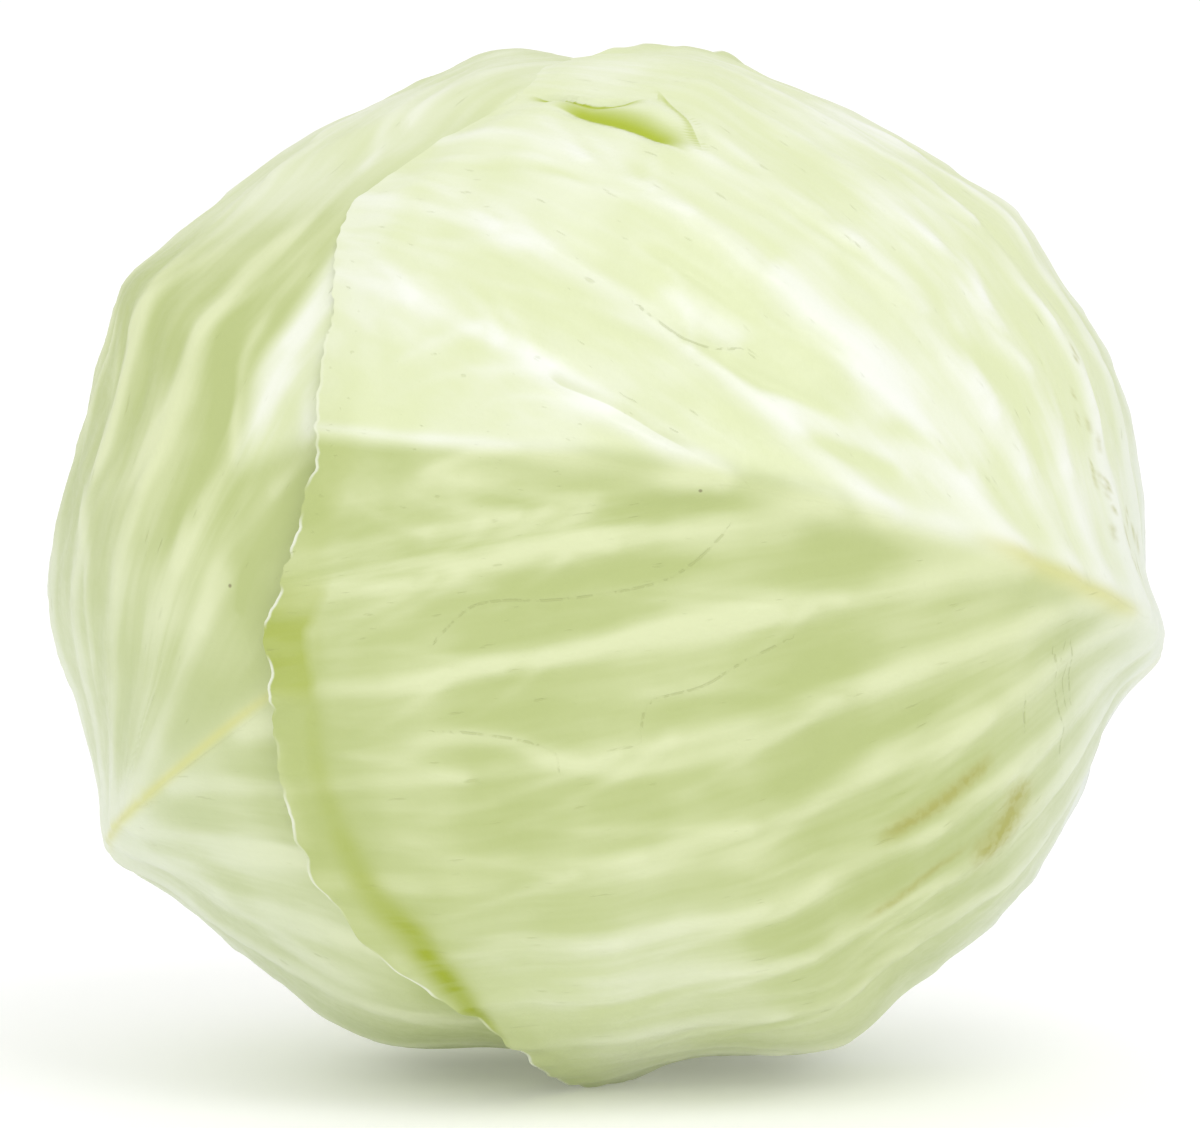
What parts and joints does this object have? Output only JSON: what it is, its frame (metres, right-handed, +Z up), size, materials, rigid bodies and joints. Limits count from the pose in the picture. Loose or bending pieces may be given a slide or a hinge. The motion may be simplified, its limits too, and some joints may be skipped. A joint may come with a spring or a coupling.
{
  "type": "cabbage head",
  "caption": "White cabbage head lying on its side: wrapper leaves with raised midribs and ribs fold over a dense inner head, with a short cut stem at the back.",
  "frame": {"origin": "on the surface that the head lies on, under the centre of its box", "axes": "+Z up; -Y is the side that the top of the head faces; +X runs towards the outermost leaf's base, along the longest extent; the cut stem points to +Y and slightly down"},
  "size_m": [0.186, 0.1626, 0.1701],
  "materials": {
    "outer_leaf": "waxy leaf skin with a soft satin sheen, pale ribs and green hollows",
    "pale_leaf": "waxy pale leaf skin with a soft satin sheen",
    "heart": "smooth, moist, cream to pale green",
    "stem": "cut stem, dry and fibrous on the cut face"
  },
  "bodies": {
    "root": {"inner_head": "heart", "leaf_1_front": "outer_leaf", "leaf_2_left": "outer_leaf", "leaf_3_top": "pale_leaf", "leaf_4_under": "pale_leaf", "leaf_5_back": "pale_leaf", "stem": "stem"}
  },
  "joints": []
}
